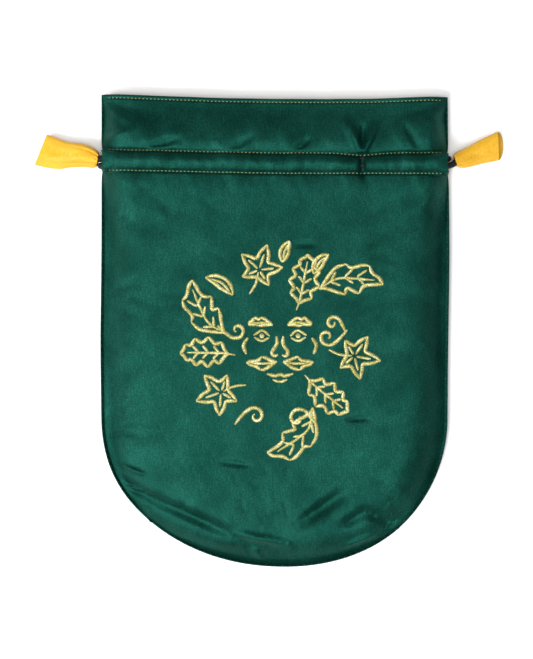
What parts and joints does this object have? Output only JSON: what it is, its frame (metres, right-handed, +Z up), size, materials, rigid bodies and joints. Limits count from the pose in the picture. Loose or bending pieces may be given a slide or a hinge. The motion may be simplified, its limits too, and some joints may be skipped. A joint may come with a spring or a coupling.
{
  "type": "drawstring gift bag",
  "caption": "Lined satin drawstring bag with a rounded bottom, embroidered front, black drawcords and yellow pull tabs.",
  "frame": {"origin": "middle of the flat underside of the back panel, on the bag's centre line, where it lies on a surface", "axes": "+X across the bag to its right pull tab, +Y up the bag to its mouth, +Z up from the surface, out of the embroidered front"},
  "size_m": [0.2164, 0.217, 0.0141],
  "materials": {
    "green_satin": "satin",
    "gold_satin": "satin",
    "topstitch_thread": "thread",
    "seam_thread": "thread",
    "gold_thread": "metallic thread",
    "black_cord": "braided",
    "backing_cloth": "matt"
  },
  "bodies": {
    "bag": {"outer_front_panel": "green_satin", "outer_back_panel": "green_satin", "lining_front_panel": "gold_satin", "lining_back_panel": "gold_satin", "outer_seam_stitching": "seam_thread", "lining_seam_stitching": "seam_thread", "mouth_stitching_front": "topstitch_thread", "mouth_stitching_back": "topstitch_thread", "casing_upper_stitching_front": "topstitch_thread", "casing_upper_stitching_back": "topstitch_thread", "casing_lower_stitching_front": "topstitch_thread", "casing_lower_stitching_back": "topstitch_thread", "embroidery_backing": "backing_cloth", "embroidery_ivy_leaves": "gold_thread", "embroidery_holly_leaves": "gold_thread", "embroidery_scroll_leaves": "gold_thread", "embroidery_tendrils": "gold_thread", "embroidery_brow_leaves": "gold_thread", "embroidery_eyes": "gold_thread", "embroidery_nose": "gold_thread", "embroidery_moustache": "gold_thread", "embroidery_mouth": "gold_thread", "embroidery_buds": "gold_thread", "embroidery_cheeks": "gold_thread"},
    "left_pull": {"drawcord_left": "black_cord", "pull_tab_left": "gold_satin", "tab_stitching_left": "gold_thread"},
    "right_pull": {"drawcord_right": "black_cord", "pull_tab_right": "gold_satin", "tab_stitching_right": "gold_thread"}
  },
  "joints": [
    {"name": "left_draw", "type": "slide", "parent": "bag", "child": "left_pull", "axis": [-1, 0, 0], "range_m": [0, 0.05], "deforming": ["lining_front_panel", "lining_back_panel", "lining_seam_stitching"]},
    {"name": "right_draw", "type": "slide", "parent": "bag", "child": "right_pull", "axis": [1, 0, 0], "range_m": [0, 0.05], "deforming": ["lining_front_panel", "lining_back_panel", "lining_seam_stitching"]}
  ]
}
